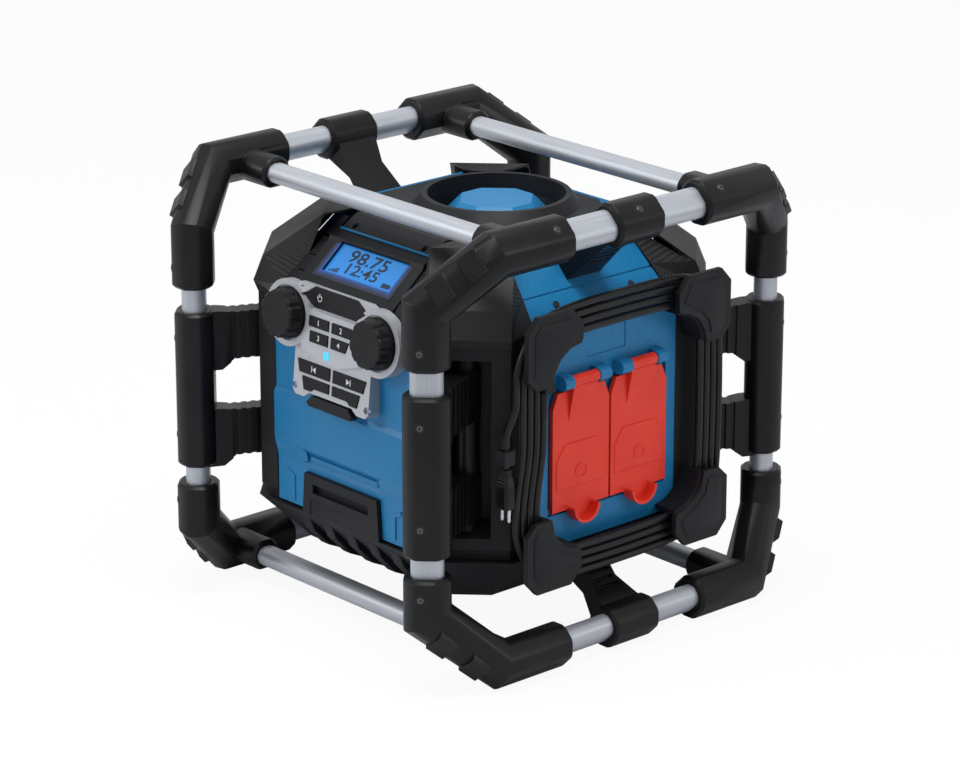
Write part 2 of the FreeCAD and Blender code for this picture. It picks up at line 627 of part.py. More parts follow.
# Display hood and display
hood_profile = [(-chassis_half, shoulder_z), (-160.5, 294), (-163.0, 296), (-122.2, 331.0),
                (-120.5, 335.0), (-110.6, 339.5), (-110.6, 328.0)]
hood = slab([Vector(-62, y, z) for y, z in hood_profile], Vector(124, 0, 0))
slope = Vector(0, 23.7, 20.0).normalize()
slope_out = Vector(0, -slope.z, slope.y)
display_middle = Vector(0, -131.05, 320.4)


def on_slope(half_x, half_run, low, high):
    """Flat block on the hood's slope, between two heights above the display's face."""
    base = display_middle + slope_out * low
    points = [base + Vector(sx * half_x, 0, 0) + slope * (sv * half_run)
              for sx, sv in ((-1, -1), (1, -1), (1, 1), (-1, 1))]
    return slab(points, slope_out * (high - low))


hood = hood.cut(crown).cut(on_slope(44, 15.5, -3.0, 20.0)).cut(fascia).cut(plate)
hood = max(hood.Solids, key=lambda solid: solid.Volume)
save(hood, "display_hood")
save(on_slope(43.9, 15.4, -3.0, 0.0), "display")
board_y = wall - chassis_half
save(box(-45, 45, board_y, board_y + 1.6, 205, 275), "circuit_board")

# Top cover: a flat lid with a sloped front, and a raised rim round the well
lid = skinned([octagon(95.0, 149.0, crown_z - 4), octagon(92.0, 144.0, crown_z + 4)])
nose = slab([Vector(-58, y, z) for y, z in ((-110.4, 339.5), (-93, 350), (-86, 350), (-86, 342), (-96, 342),
                                            (-110.4, 328.0))], Vector(116, 0, 0))
rim_centre = Vector(0, well_y, crown_z + 3)
lid = lid.fuse([nose.cut(crown), drum([(74, 0), (66, 11)], rim_centre, Vector(0, 0, 1), well_sides)])
lid = lid.cut(prism(well_radius, 60, Vector(0, well_y, crown_z - 30), Vector(0, 0, 1), well_sides))
for sx in (-1, 1):
    lid = lid.cut(prism(3.2, 6, Vector(sx * 45.5, -104.7, 339.5), Vector(0, 0, 1), 12))

# Outlet side: recess behind the flaps, sockets, hinges
outlet = panel.cut(box(157.5, 170, -69, 69, 123, 240))
for sy in (-1, 1):
    spot = Vector(140, sy * socket_y, socket_z)
    outlet = outlet.cut(prism(socket_radius + fit_gap, 30, spot, Vector(1, 0, 0)))
    for inner, outer in ((6.5, 19.2), (49.0, 60.0)):
        start = inner if sy > 0 else -outer
        block = box(156.5, 165.5, start, start + outer - inner, hinge_z - 6, hinge_z + 6.5)
        barrel = prism(hinge_radius + 1, outer - inner, Vector(hinge_x, start, hinge_z), Vector(0, 1, 0), 16)
        outlet = outlet.fuse([block, barrel])
    start = Vector(hinge_x, sy * 33.25 - 28, hinge_z)
    outlet = outlet.cut(cylinder(pin_radius + 0.02, 56, start, Vector(0, 1, 0)))
label = box(160.2, 162, -26, 20.5, mid_z + 59, mid_z + 81.4)
outlet = outlet.cut(label)
outlet = max(outlet.Solids, key=lambda solid: solid.Volume)
left_panel, rear_panel = mirrored(panel, -1, 1), quarter_turned(panel, 1)
rear_panel = rear_panel.cut(box(-50.3, 50.3, 158.5, 170, 129.7, 250.3))
walls = Part.makeCompound([outlet, left_panel, rear_panel, grille_blocks, hood])
save(outlet, "outlet_panel")
save(left_panel, "left_panel")
save(rear_panel, "rear_panel")
lid = max(lid.cut(walls).Solids, key=lambda solid: solid.Volume)
save(lid, "top_cover")
rear_cover = box(-50, 50, 158.5, 163.5, 130, 250)
for k in range(6):
    rear_cover = rear_cover.cut(box(-34, 34, 161.5, 165, 150 + 16 * k, 154 + 16 * k))
save(rear_cover, "rear_cover")

pins, inserts = [], []
for sy in (-1, 1):
    pins.append(cylinder(pin_radius, 53, Vector(hinge_x, sy * 33.25 - 26.5, hinge_z), Vector(0, 1, 0)))
    cup = prism(socket_radius, 18, Vector(139, sy * socket_y, socket_z), Vector(1, 0, 0))
    cup = cup.cut(prism(socket_radius - 2.3, 20, Vector(142, sy * socket_y, socket_z), Vector(1, 0, 0)))
    for dy in (-9.5, 9.5):
        cup = cup.cut(prism(2.5, 10, Vector(135, sy * socket_y + dy, socket_z), Vector(1, 0, 0), 8))
    inserts.append(cup)
save(Part.makeCompound(pins), "hinge_pins")
save(Part.makeCompound(inserts), "socket_inserts")


# Outlet flaps
def flap(sy):
    """Outlet cover: plate, ramped neck, hinge barrel and a bucket-shaped lift tab."""
    low_y, high_y, middle = 1.2, 66.8, 34.0
    x0, x1 = flap_outer_x - flap_thick, flap_outer_x
    outline = [Vector(x0, low_y, flap_low), Vector(x0, high_y, flap_low), Vector(x0, high_y, 219),
               Vector(x0, high_y - 6, flap_top), Vector(x0, low_y + 6, flap_top), Vector(x0, low_y, 219)]
    body = slab(outline, Vector(flap_thick, 0, 0))
    neck = [Vector(x1 - 2, middle - 14.3, 204), Vector(x1, middle - 14.3, 206), Vector(hinge_x + 3, middle - 14.3, 236),
            Vector(hinge_x, middle - 14.3, hinge_z), Vector(x1 - 2, middle - 14.3, hinge_z)]
    body = body.fuse(slab(neck, Vector(0, 28.6, 0)))
    body = body.fuse(cylinder(hinge_radius, 28.6, Vector(hinge_x, middle - 14.3, hinge_z), Vector(0, 1, 0)))
    body = body.cut(cylinder(pin_radius + 0.05, 40, Vector(hinge_x, middle - 20, hinge_z), Vector(0, 1, 0)))
    bucket = prism(15, x1 + 9 - 161.6, Vector(161.6, middle, flap_low + 2), Vector(1, 0, 0))
    bucket = bucket.cut(prism(12.5, 20, Vector(x1, middle, flap_low + 2), Vector(1, 0, 0)))
    bucket = bucket.common(box(150, 200, middle - 20, middle + 20, flap_low - 20, flap_low + 2))
    body = body.fuse(bucket)
    return mirrored(body, 1, sy)


save(flap(-1), "flap_a")
save(flap(1), "flap_b")


# Cord hooks: a curved wall on the body and a facetted plate that keeps the cord in
def cord_hook(sy, sz):
    """Quarter wall that the cord bends round, drawn for the upper rear hook and mirrored."""
    wall_radius = lane_radius - cord_diameter / 2 - 0.2
    post = prism(wall_radius, hook_plate_x - body_half + 1, Vector(body_half, 0, 0), Vector(1, 0, 0), 48)
    post = post.cut(prism(wall_radius - 5, 60, Vector(140, 0, 0), Vector(1, 0, 0), 48))
    post = post.common(box(140, 200, 1, 40, 1, 40))
    outline = [(-2, 50), (10, 63.5), (49, 63.5), (60.5, 51), (60.5, 10), (50, 0), (32, 0), (29.6, 12),
               (22.6, 22.6), (12, 29.6), (0, 32), (-2, 36)]
    plate_body = slab([Vector(hook_plate_x, y, z) for y, z in outline], Vector(hook_plate_thick, 0, 0))
    body = post.fuse(plate_body)
    if sz < 0:
        body = body.mirror(Vector(0, 0, 0), Vector(0, 0, 1))
    body = mirrored(body, 1, sy)
    return body.translated(Vector(0, sy * hook_y, hook_top_z if sz > 0 else hook_bottom_z))


hooks = [cord_hook(sy, sz) for sy in (-1, 1) for sz in (-1, 1)]
save(Part.makeCompound(hooks), "cord_hooks")


# Cord: four turns side by side round the hooks, each turn stepping one lane outwards on the left run
def cord_route():
    """Edges of the flat spiral in the plane x = cord_x, from the gland to the plug."""
    edges = []
    here = [-hook_y - lane_radius + lane_pitch, gland_low]

    def point(y, z):
        return Vector(cord_x, y, z)

    def line_to(y, z):
        edges.append(Part.LineSegment(point(*here), point(y, z)).toShape())
        here[0], here[1] = y, z

    def arc_to(middle, end):
        edges.append(Part.Arc(point(*here), point(*middle), point(*end)).toShape())
        here[0], here[1] = end

    def step_out(shift, high, low):
        """Two equal arcs that move a downward run sideways."""
        line_to(here[0], high)
        y0, y1, middle_z = here[0], here[0] - shift, (high + low) / 2
        run, rise = (high - low) / 2, shift / 2
        radius = (run * run + rise * rise) / (2 * rise)
        bend_radii.append(radius)
        half = math.asin(run / radius) / 2
        dy, dz = radius * (1 - math.cos(half)), radius * math.sin(half)
        arc_to((y0 - dy, high - dz), ((y0 + y1) / 2, middle_z))
        arc_to((y1 + dy, low + dz), (y1, low))

    def corner(sy, sz, radius, start_angle):
        """Quarter turn about a hook, taken anticlockwise seen from outside."""
        cz = hook_top_z if sz > 0 else hook_bottom_z
        a0, a1, a2 = (math.radians(start_angle + d) for d in (0, 45, 90))
        spots = [(sy * hook_y + radius * math.cos(a), cz + radius * math.sin(a)) for a in (a0, a1, a2)]
        line_to(*spots[0])
        arc_to(spots[1], spots[2])
        bend_radii.append(radius)

    step_out(lane_pitch, step_high, step_low)
    for turn in range(turns):
        radius = lane_radius + turn * lane_pitch
        corner(-1, -1, radius, 180)
        corner(1, -1, radius, 270)
        corner(1, 1, radius, 0)
        corner(-1, 1, radius, 90)
        if turn < turns - 1:
            step_out(lane_pitch, step_high, step_low)
    step_out(lane_pitch + 3.7, tail_high, tail_low)
    line_to(here[0], plug_top)
    return edges, here[0]


bend_radii = []
gland_low, step_high, step_low = 244.0, 203.0, 140.0
tail_high, tail_low, plug_top = 250.0, 205.0, 186.0
route, tail_y = cord_route()
spine = Part.Wire(Part.__sortEdges__(route))
start = spine.OrderedVertexes[0].Point
rim = []
for k in range(cord_sides):
    angle = 2 * math.pi * (k + 0.5) / cord_sides
    rim.append(start + Vector(math.cos(angle), math.sin(angle), 0) * (cord_diameter / 2))
cord = spine.makePipeShell([polygon(rim)], True, False)
save(cord, "cord")
print("cord length", round(spine.Length, 1), "tightest bend", round(min(bend_radii), 1), "tail at", round(tail_y, 2))
spots = spine.discretize(Distance=1.5)
reach = int(30 / 1.5)
least = min(a.distanceToPoint(b) for i, a in enumerate(spots) for b in spots[i + reach:])
print("least gap between turns", round(least - cord_diameter, 2), "valid", cord.isValid(), len(cord.Solids))

gland_y = -hook_y - lane_radius + lane_pitch
gland = box(body_half, 183, gland_y - 3.8, gland_y + 8, gland_low, gland_low + 7.5)
save(gland, "cord_gland")

# Plug on the end of the cord, and the clip that parks it
plug = box(167.5, 186.5, tail_y - 8, tail_y + 7, plug_top - 34, plug_top - 6)
plug = plug.makeChamfer(2.5, plug.Edges)
neck = drum([(6.5, 0), (5.0, 7)], Vector(cord_x + 1, tail_y - 0.5, plug_top - 7), Vector(0, 0, 1), 16)
plug = plug.fuse(neck)
for dx in (-4.5, 4.5):
    plug = plug.fuse(prism(1.6, 14, Vector(cord_x + 1 + dx, tail_y - 0.5, plug_top - 47), Vector(0, 0, 1), 12))
save(plug, "plug")
clip = box(170, 182, tail_y - 6, tail_y + 6, plug_top + 4, plug_top + 17)
clip = clip.cut(prism(cord_diameter / 2 + 0.2, 60, Vector(cord_x, tail_y, plug_top - 20), Vector(0, 0, 1), 16))
save(clip, "cord_clip")
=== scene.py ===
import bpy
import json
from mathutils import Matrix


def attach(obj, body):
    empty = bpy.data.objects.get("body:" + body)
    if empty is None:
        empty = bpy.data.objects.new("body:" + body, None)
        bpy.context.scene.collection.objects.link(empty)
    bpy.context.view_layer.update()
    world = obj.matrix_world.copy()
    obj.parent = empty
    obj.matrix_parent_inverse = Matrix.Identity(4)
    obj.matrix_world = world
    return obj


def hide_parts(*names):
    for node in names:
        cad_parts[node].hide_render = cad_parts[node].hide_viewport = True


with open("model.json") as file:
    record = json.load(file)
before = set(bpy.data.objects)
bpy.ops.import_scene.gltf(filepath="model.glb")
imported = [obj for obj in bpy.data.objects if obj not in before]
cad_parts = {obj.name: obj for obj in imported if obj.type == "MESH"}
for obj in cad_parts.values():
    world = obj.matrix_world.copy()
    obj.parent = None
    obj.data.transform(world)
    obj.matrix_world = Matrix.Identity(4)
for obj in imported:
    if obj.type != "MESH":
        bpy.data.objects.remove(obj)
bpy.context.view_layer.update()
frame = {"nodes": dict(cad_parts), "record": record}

import json
import math

import bmesh
import bpy
import numpy as np
from mathutils import Vector


# The studio: a flat white floor, a camera with a long lens standing to the right of the
# front, and three soft lamps with white air round them.
camera_data = bpy.data.cameras.new("camera")
camera = bpy.data.objects.new("camera", camera_data)
bpy.context.collection.objects.link(camera)
camera_data.sensor_width = 36.0
camera_data.lens = 143.98
camera_data.clip_end = 50.0
camera.location = (2.3908, -2.1503, 1.2791)
camera.rotation_euler = (math.radians(71.32), 0.0, math.radians(48.05))
bpy.context.scene.camera = camera
bpy.context.scene.view_settings.view_transform = "Standard"

floor_mesh = bpy.data.meshes.new("studio_floor")
floor_mesh.from_pydata([(-6, -6, 0), (6, -6, 0), (6, 6, 0), (-6, 6, 0)], [], [(0, 1, 2, 3)])
studio_floor = bpy.data.objects.new("studio_floor", floor_mesh)
bpy.context.collection.objects.link(studio_floor)
paper = bpy.data.materials.new("white_paper")
paper.use_nodes = True
paper_nodes, paper_links = paper.node_tree.nodes, paper.node_tree.links
paper_nodes["Principled BSDF"].inputs["Base Color"].default_value = (0.86, 0.87, 0.88, 1)
paper_nodes["Principled BSDF"].inputs["Roughness"].default_value = 0.9
paper_glow = paper_nodes.new("ShaderNodeEmission")
paper_glow.inputs["Color"].default_value = (1, 1, 1, 1)
paper_mix = paper_nodes.new("ShaderNodeMixShader")
paper_path = paper_nodes.new("ShaderNodeLightPath")
paper_far = paper_nodes.new("ShaderNodeMath")
paper_far.operation = "MULTIPLY"
paper_far.inputs[1].default_value = 0.93
paper_links.new(paper_path.outputs["Is Camera Ray"], paper_far.inputs[0])
paper_links.new(paper_far.outputs[0], paper_mix.inputs[0])
paper_links.new(paper_nodes["Principled BSDF"].outputs[0], paper_mix.inputs[1])
paper_links.new(paper_glow.outputs[0], paper_mix.inputs[2])
paper_links.new(paper_mix.outputs[0], paper_nodes["Material Output"].inputs["Surface"])
floor_mesh.materials.append(paper)

world = bpy.data.worlds.new("studio_air")
bpy.context.scene.world = world
world.use_nodes = True
air_nodes, air_links = world.node_tree.nodes, world.node_tree.links
air_nodes["Background"].inputs["Color"].default_value = (0.93, 0.95, 1.0, 1)
air_nodes["Background"].inputs["Strength"].default_value = 0.4
white_air = air_nodes.new("ShaderNodeBackground")
white_air.inputs["Strength"].default_value = 1.0
air_path = air_nodes.new("ShaderNodeLightPath")
air_mix = air_nodes.new("ShaderNodeMixShader")
seen_straight = air_nodes.new("ShaderNodeMath")
seen_straight.operation = "MAXIMUM"
air_links.new(air_path.outputs["Is Camera Ray"], seen_straight.inputs[0])
air_links.new(air_path.outputs["Is Transmission Ray"], seen_straight.inputs[1])
seen_or_mirrored = air_nodes.new("ShaderNodeMath")
seen_or_mirrored.operation = "MAXIMUM"
air_links.new(seen_straight.outputs[0], seen_or_mirrored.inputs[0])
air_links.new(air_path.outputs["Is Glossy Ray"], seen_or_mirrored.inputs[1])
air_links.new(seen_or_mirrored.outputs[0], air_mix.inputs[0])
air_links.new(air_nodes["Background"].outputs[0], air_mix.inputs[1])
air_links.new(white_air.outputs[0], air_mix.inputs[2])
air_links.new(air_mix.outputs[0], air_nodes["World Output"].inputs["Surface"])

for lamp_name, lamp_place, lamp_size, lamp_power in (
        ("overhead_box", (0.2, -0.3, 2.0), 1.0, 30.0),
        ("front_box", (-1.3, -2.2, 1.5), 0.9, 26.0),
        ("side_box", (2.3, 1.0, 1.2), 0.8, 12.0)):
    lamp_data = bpy.data.lights.new(lamp_name, "AREA")
    lamp_data.size = lamp_size
    lamp_data.energy = lamp_power
    lamp = bpy.data.objects.new(lamp_name, lamp_data)
    bpy.context.collection.objects.link(lamp)
    lamp.location = lamp_place
    lamp.rotation_euler = (Vector((0, 0, 0.2)) - Vector(lamp_place)).to_track_quat("-Z", "Y").to_euler()


# Helpers that dress the solids: the body that each one moves with, copies with rounded edges,
# and finishes whose tones, gloss and fine relief come from noise.
bodies = frame["record"]["behaviour"]["bodies"]
body_of_node = {node: body for body, nodes in bodies.items() for node in nodes}


def softened(node, fillet, angle=28.0, segments=2):
    """Copy of a solid with rounded edges: its triangles are merged into whole faces, and each edge
    sharper than the angle is cut back by the fillet on both sides and rounded."""
    mesh = frame["nodes"][node].data.copy()
    mesh.materials.clear()
    shape = bmesh.new()
    shape.from_mesh(mesh)
    bmesh.ops.remove_doubles(shape, verts=shape.verts, dist=2e-6)
    bmesh.ops.dissolve_limit(shape, angle_limit=math.radians(0.6), verts=shape.verts, edges=shape.edges)
    shape.to_mesh(mesh)
    shape.free()
    mesh.shade_smooth()
    mesh.set_sharp_from_angle(angle=math.radians(angle))
    piece = bpy.data.objects.new(node + "_shell", mesh)
    bpy.context.collection.objects.link(piece)
    rounding = piece.modifiers.new("rounding", "BEVEL")
    rounding.width = fillet
    rounding.segments = segments
    rounding.limit_method = "ANGLE"
    rounding.angle_limit = math.radians(angle)
    rounding.harden_normals = True
    rounding.use_clamp_overlap = True
    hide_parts(node)
    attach(piece, body_of_node[node])
    return piece


def finish(name, colour, roughness, metallic=0.0):
    """New surface finish with its shader's plain values set; returns it with its nodes and links."""
    material = bpy.data.materials.new(name)
    material.use_nodes = True
    shader = material.node_tree.nodes["Principled BSDF"]
    shader.inputs["Base Color"].default_value = (*colour, 1)
    shader.inputs["Roughness"].default_value = roughness
    shader.inputs["Metallic"].default_value = metallic
    return material, material.node_tree.nodes, material.node_tree.links, shader


def grain(nodes, links, stretch, scale, detail=2.0):
    """Noise on the object's own coordinates, stretched along its axes; returns its output."""
    place = nodes.new("ShaderNodeTexCoord")
    turn = nodes.new("ShaderNodeMapping")
    turn.inputs["Scale"].default_value = stretch
    noise = nodes.new("ShaderNodeTexNoise")
    noise.inputs["Scale"].default_value = scale
    noise.inputs["Detail"].default_value = detail
    links.new(place.outputs["Object"], turn.inputs["Vector"])
    links.new(turn.outputs["Vector"], noise.inputs["Vector"])
    return noise.outputs["Fac"]


def spread(nodes, links, value, low, high):
    """Maps a noise value from its middle range to low and high."""
    span = nodes.new("ShaderNodeMapRange")
    span.inputs["From Min"].default_value = 0.3
    span.inputs["From Max"].default_value = 0.7
    span.inputs["To Min"].default_value = low
    span.inputs["To Max"].default_value = high
    links.new(value, span.inputs["Value"])
    return span.outputs["Result"]


def tinted(nodes, links, value, dark, light):
    """Colour between two shades by a value."""
    mix = nodes.new("ShaderNodeMix")
    mix.data_type = "RGBA"
    mix.inputs["A"].default_value = (*dark, 1)
    mix.inputs["B"].default_value = (*light, 1)
    links.new(value, mix.inputs["Factor"])
    return mix.outputs["Result"]


def mottled(nodes, links, shader, value, dark, light, socket="Base Color"):
    """Shades one of the shader's colours between two tones by a noise value."""
    links.new(tinted(nodes, links, spread(nodes, links, value, 0, 1), dark, light), shader.inputs[socket])


def pebbled(nodes, links, shader, height, depth, strength=1.0):
    """Raises the surface by a height value times a depth in metres."""
    bump = nodes.new("ShaderNodeBump")
    bump.inputs["Distance"].default_value = depth
    bump.inputs["Strength"].default_value = strength
    links.new(height, bump.inputs["Height"])
    links.new(bump.outputs["Normal"], shader.inputs["Normal"])


# The roll cage's twelve tubes: drawn aluminium with flats, anodised satin.
# Fine drawing lines run along each tube, so their pattern is long on that tube's axis.
for tube_node, drawn_along in (("post_tubes", (1, 1, 0.02)), ("side_tubes", (1, 0.02, 1)),
                               ("cross_tubes", (0.02, 1, 1))):
    aluminium, nodes, links, shader = finish("anodised_" + tube_node, (0.4, 0.42, 0.46), 0.42, 0.45)
    lines = grain(nodes, links, drawn_along, 900.0)
    mottled(nodes, links, shader, lines, (0.38, 0.4, 0.44), (0.45, 0.47, 0.51))
    links.new(spread(nodes, links, lines, 0.36, 0.46), shader.inputs["Roughness"])
    pebbled(nodes, links, shader, lines, 0.00001, 0.2)
    softened(tube_node, 0.0006).data.materials.append(aluminium)


# The black mouldings of the cage: eight elbows, four post sleeves and four brackets, in tough
# nylon with a fine eroded grain, polished by handling in some patches and dull in others.
nylon, nodes, links, shader = finish("grained_nylon", (0.004, 0.004, 0.005), 0.36)
shader.inputs["Specular IOR Level"].default_value = 0.2
pits = grain(nodes, links, (1, 1, 1), 1400.0)
cloud = grain(nodes, links, (1, 1, 1), 14.0, 4.0)
mottled(nodes, links, shader, cloud, (0.003, 0.003, 0.0035), (0.007, 0.007, 0.008))
links.new(spread(nodes, links, cloud, 0.3, 0.42), shader.inputs["Roughness"])
pebbled(nodes, links, shader, pits, 0.00005, 0.5)
for node in sorted(frame["nodes"]):
    if node.startswith(("elbow", "post_sleeve", "side_bracket")):
        softened(node, 0.0012).data.materials.append(nylon)


# The body's black shells: corner housings, base, top cover, hood, bezel and rear cover,
# moulded in the same black with a coarser, duller grain.
shell_black, nodes, links, shader = finish("dull_black_shell", (0.006, 0.0065, 0.008), 0.5)
shader.inputs["Specular IOR Level"].default_value = 0.2
pits = grain(nodes, links, (1, 1, 1), 1100.0)
cloud = grain(nodes, links, (1, 1, 1), 11.0, 4.0)
mottled(nodes, links, shader, cloud, (0.005, 0.0055, 0.007), (0.01, 0.0105, 0.0125))
links.new(spread(nodes, links, cloud, 0.44, 0.6), shader.inputs["Roughness"])
pebbled(nodes, links, shader, pits, 0.00007, 0.5)
for node, fillet in (("corner_housings", 0.0008), ("base_skirt", 0.001), ("top_cover", 0.0008),
                     ("display_hood", 0.0007), ("port_bezel", 0.0007), ("rear_cover", 0.0006),
                     ("cord_hooks", 0.0008), ("cord_gland", 0.0005), ("cord_clip", 0.0004),
                     ("socket_inserts", 0.0004), ("chassis", 0.0006)):
    softened(node, fillet).data.materials.append(shell_black)


# The blue mouldings: front, outlet side, two plain sides and the facetted boss in the top well,
# in coloured plastic with fine mica, which speckles the surface.
blue, nodes, links, shader = finish("speckled_blue", (0.008, 0.16, 0.36), 0.45)
shader.inputs["Specular IOR Level"].default_value = 0.3
flecks = grain(nodes, links, (1, 1, 1), 1500.0, 1.0)
mottled(nodes, links, shader, flecks, (0.005, 0.115, 0.28), (0.012, 0.2, 0.42))
links.new(spread(nodes, links, flecks, 0.36, 0.5), shader.inputs["Roughness"])
pebbled(nodes, links, shader, flecks, 0.00004, 0.4)
for node, fillet in (("front_fascia", 0.0007), ("outlet_panel", 0.0006), ("left_panel", 0.0007),
                     ("rear_panel", 0.0007)):
    softened(node, fillet).data.materials.append(blue)


# The corner grilles: steel sheet punched with small round holes in staggered rows, bent to the corner and
# coated matt black. The holes are about 1.7 mm apart along each row, and are painted on as darker, duller
# spots: painted shade for the dark seen through them.
def worked(nodes, links, operation, first, second=None):
    """One arithmetic step; numbers are set on the node and outputs are joined to it."""
    step = nodes.new("ShaderNodeMath")
    step.operation = operation
    for socket, value in zip(step.inputs, (first, second)):
        if isinstance(value, (int, float)):
            socket.default_value = value
        elif value is not None:
            links.new(value, socket)
    return step.outputs[0]


punched, nodes, links, shader = finish("punched_steel", (0.02, 0.02, 0.022), 0.48)
shader.inputs["Specular IOR Level"].default_value = 0.3
place = nodes.new("ShaderNodeTexCoord")
parts = nodes.new("ShaderNodeSeparateXYZ")
links.new(place.outputs["Object"], parts.inputs["Vector"])
along_bend = worked(nodes, links, "SUBTRACT", worked(nodes, links, "ABSOLUTE", parts.outputs["X"]),
                    worked(nodes, links, "ABSOLUTE", parts.outputs["Y"]))
bend_waves, rise_waves = 2600.0, 3700.0
row_wave = worked(nodes, links, "COSINE", worked(nodes, links, "MULTIPLY", along_bend, bend_waves))
rise_wave = worked(nodes, links, "COSINE", worked(nodes, links, "MULTIPLY", parts.outputs["Z"], rise_waves))
holes = worked(nodes, links, "MULTIPLY", row_wave, rise_wave)
hole_shade_mask = nodes.new("ShaderNodeMapRange")
hole_shade_mask.inputs["From Min"].default_value = -0.1
hole_shade_mask.inputs["From Max"].default_value = 0.35
links.new(holes, hole_shade_mask.inputs["Value"])
# Painted shade: the holes are tinted near black, standing in for the shade seen through them.
links.new(tinted(nodes, links, hole_shade_mask.outputs["Result"], (0.017, 0.017, 0.019), (0.003, 0.003, 0.003)),
          shader.inputs["Base Color"])
duller = worked(nodes, links, "MULTIPLY", hole_shade_mask.outputs["Result"], 0.4)
links.new(worked(nodes, links, "ADD", duller, 0.42), shader.inputs["Roughness"])
pebbled(nodes, links, shader, worked(nodes, links, "SUBTRACT", 1.0, hole_shade_mask.outputs["Result"]), 0.00015)
softened("speaker_grilles", 0.0008).data.materials.append(punched)


# The control plate: zinc die casting with a satin silver coat, whose fine grain breaks up the
# light. The gaps round its keys stay dark.
silver, nodes, links, shader = finish("satin_silver", (0.42, 0.43, 0.46), 0.38, 0.45)
fine = grain(nodes, links, (1, 1, 1), 1600.0, 1.0)
mottled(nodes, links, shader, fine, (0.37, 0.38, 0.41), (0.46, 0.47, 0.5))
links.new(spread(nodes, links, fine, 0.3, 0.44), shader.inputs["Roughness"])
pebbled(nodes, links, shader, fine, 0.00003, 0.3)
softened("control_plate", 0.0005).data.materials.append(silver)


# The keys and knobs: soft-touch black rubber, smoother than the shells, with a fine skin that
# shows as slight changes of gloss.
rubber, nodes, links, shader = finish("soft_black_rubber", (0.004, 0.004, 0.005), 0.38)
shader.inputs["Specular IOR Level"].default_value = 0.2
skin = grain(nodes, links, (1, 1, 1), 700.0)
mottled(nodes, links, shader, skin, (0.003, 0.003, 0.004), (0.006, 0.006, 0.007))
links.new(spread(nodes, links, skin, 0.32, 0.46), shader.inputs["Roughness"])
pebbled(nodes, links, shader, skin, 0.00003, 0.4)
for node in sorted(frame["nodes"]):
    if node.endswith("key") or node.startswith(("knob", "preset_key")):
        softened(node, 0.0004 if "key" in node else 0.0006).data.materials.append(rubber)


# The display: a clear window over a lit blue panel, which glows a little more in some patches.
# Its figures are laid on it below.
lit, nodes, links, shader = finish("lit_display", (0.012, 0.12, 0.38), 0.2)
glow_patch = grain(nodes, links, (1, 1, 1), 25.0, 1.0)
mottled(nodes, links, shader, glow_patch, (0.012, 0.2, 0.52), (0.02, 0.26, 0.6), "Emission Color")
shader.inputs["Emission Strength"].default_value = 0.42
softened("display", 0.0002).data.materials.append(lit)


# The status light: a clear blue lens under the preset keys, lit from behind and brighter than
# the display.
light_blue, nodes, links, shader = finish("lit_lens", (0.02, 0.3, 0.7), 0.15)
lens_glow = grain(nodes, links, (1, 1, 1), 300.0, 1.0)
mottled(nodes, links, shader, lens_glow, (0.03, 0.35, 0.85), (0.1, 0.5, 0.95), "Emission Color")
shader.inputs["Emission Strength"].default_value = 0.9
softened("status_light", 0.0006).data.materials.append(light_blue)


# The outlet flaps: two red covers with hinge barrels and lift tabs, in coloured plastic whose
# tone drifts slightly over each cover.
red, nodes, links, shader = finish("moulded_red", (0.7, 0.03, 0.014), 0.42)
shader.inputs["Specular IOR Level"].default_value = 0.3
skin = grain(nodes, links, (1, 1, 1), 1200.0)
cloud = grain(nodes, links, (1, 1, 1), 18.0, 3.0)
mottled(nodes, links, shader, cloud, (0.66, 0.026, 0.012), (0.76, 0.04, 0.018))
links.new(spread(nodes, links, skin, 0.32, 0.44), shader.inputs["Roughness"])
pebbled(nodes, links, shader, skin, 0.00003, 0.4)
for node in ("flap_a", "flap_b"):
    softened(node, 0.0006).data.materials.append(red)


# The hinge pins: ground steel wire, with the grinding lines along it. The plug's pins have the
# same finish.
steel, nodes, links, shader = finish("ground_steel", (0.5, 0.5, 0.51), 0.3, 1.0)
lines = grain(nodes, links, (1, 0.05, 1), 800.0)
links.new(spread(nodes, links, lines, 0.24, 0.38), shader.inputs["Roughness"])
softened("hinge_pins", 0.0002).data.materials.append(steel)


# Inside: speaker drivers with black paper cones, roughened by their fibres, and the circuit
# board with green lacquer over a fine weave.
cone_paper, nodes, links, shader = finish("cone_paper", (0.02, 0.02, 0.02), 0.8)
fibres = grain(nodes, links, (1, 1, 1), 500.0, 4.0)
mottled(nodes, links, shader, fibres, (0.015, 0.015, 0.015), (0.035, 0.034, 0.032))
pebbled(nodes, links, shader, fibres, 0.0001, 0.4)
for node in ("speaker_drivers", "subwoofer"):
    softened(node, 0.0004).data.materials.append(cone_paper)
board_green, nodes, links, shader = finish("board_lacquer", (0.01, 0.1, 0.04), 0.3)
weave = grain(nodes, links, (1, 1, 1), 900.0)
mottled(nodes, links, shader, weave, (0.008, 0.09, 0.035), (0.014, 0.13, 0.05))
softened("circuit_board", 0.0001).data.materials.append(board_green)


def as_piece(name, points, faces, body, material, sharp=30.0):
    """Closed surface made into a piece: doubled points are merged and its faces turned outwards."""
    mesh = bpy.data.meshes.new(name)
    mesh.from_pydata([tuple(point) for point in points], [], [tuple(int(i) for i in face) for face in faces])
    shape = bmesh.new()
    shape.from_mesh(mesh)
    bmesh.ops.remove_doubles(shape, verts=shape.verts, dist=1e-6)
    bmesh.ops.recalc_face_normals(shape, faces=shape.faces)
    shape.to_mesh(mesh)
    shape.free()
    mesh.shade_smooth()
    mesh.set_sharp_from_angle(angle=math.radians(sharp))
    mesh.materials.append(material)
    piece = bpy.data.objects.new(name, mesh)
    bpy.context.collection.objects.link(piece)
    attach(piece, body)
    return piece


